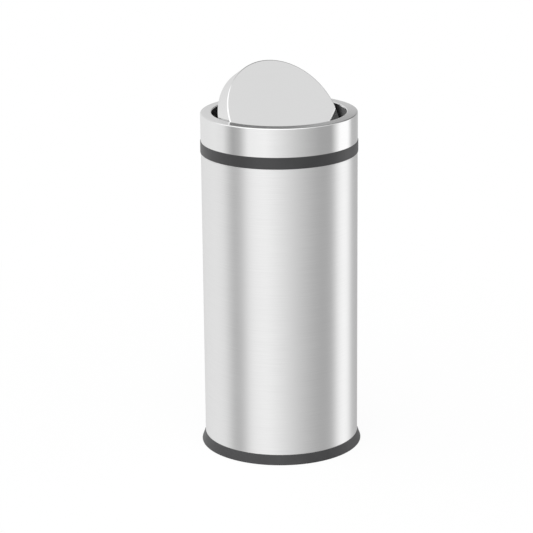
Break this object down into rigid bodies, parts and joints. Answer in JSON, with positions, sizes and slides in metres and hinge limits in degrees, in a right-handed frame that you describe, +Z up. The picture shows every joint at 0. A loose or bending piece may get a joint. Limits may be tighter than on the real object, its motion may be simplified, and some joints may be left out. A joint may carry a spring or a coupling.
{
  "type": "swing-lid trash can",
  "caption": "Round stainless steel waste bin with a lift-off head, a tumbling swing lid in its flat top, black base and band rings, and an inner bucket with a bail.",
  "frame": {"origin": "Middle of the foot ring, on the floor.", "axes": "+Z up. The lid's pivot axis runs along X; +Y is the side towards which the lid's edge is raised, and the body's seam is on that side."},
  "size_m": [0.3146, 0.3146, 0.7512],
  "materials": {
    "body_steel": "brushed stainless steel, satin",
    "lid_steel": "polished stainless steel",
    "inner_steel": "galvanised sheet steel",
    "black_plastic": "black moulded plastic, fine grain",
    "nylon": "natural nylon",
    "iron": "black coated iron",
    "zinc": "zinc plated steel"
  },
  "bodies": {
    "body": {"base_ring": "black_plastic", "base_pan": "inner_steel", "base_screws": "zinc", "body_shell": "body_steel"},
    "head": {"band_ring": "black_plastic", "head_shroud": "body_steel", "head_collar": "black_plastic", "head_screws": "zinc", "bush_left": "nylon", "bush_right": "nylon"},
    "lid": {"lid_shell": "lid_steel", "lid_back_cover": "lid_steel", "pivot_beam": "black_plastic", "pin_left": "zinc", "pin_right": "zinc", "counterweight": "iron", "cover_screws": "zinc"},
    "bucket": {"bucket": "inner_steel", "ear_left": "inner_steel", "ear_right": "inner_steel", "bail_pivots": "zinc"},
    "bail": {"bail_strap": "zinc"}
  },
  "joints": [
    {"name": "head_lift", "type": "slide", "parent": "body", "child": "head", "axis": [0, 0, 1], "range_m": [0, 0.45]},
    {"name": "lid_swing", "type": "hinge", "parent": "head", "child": "lid", "pos_m": [0, 0, 0.637], "axis": [1, 0, 0], "continuous": true},
    {"name": "bucket_lift", "type": "slide", "parent": "body", "child": "bucket", "axis": [0, 0, 1], "range_m": [0, 0.18]},
    {"name": "bail_swing", "type": "hinge", "parent": "bucket", "child": "bail", "pos_m": [0, 0, 0.5453], "axis": [1, 0, 0], "range_deg": [0, 90]}
  ],
  "couplings": [
    {"joint": "bucket_lift", "follows": "head_lift", "ratio": 0.4},
    {"joint": "bail_swing", "follows": "head_lift", "rad_per_m": 3.49}
  ]
}
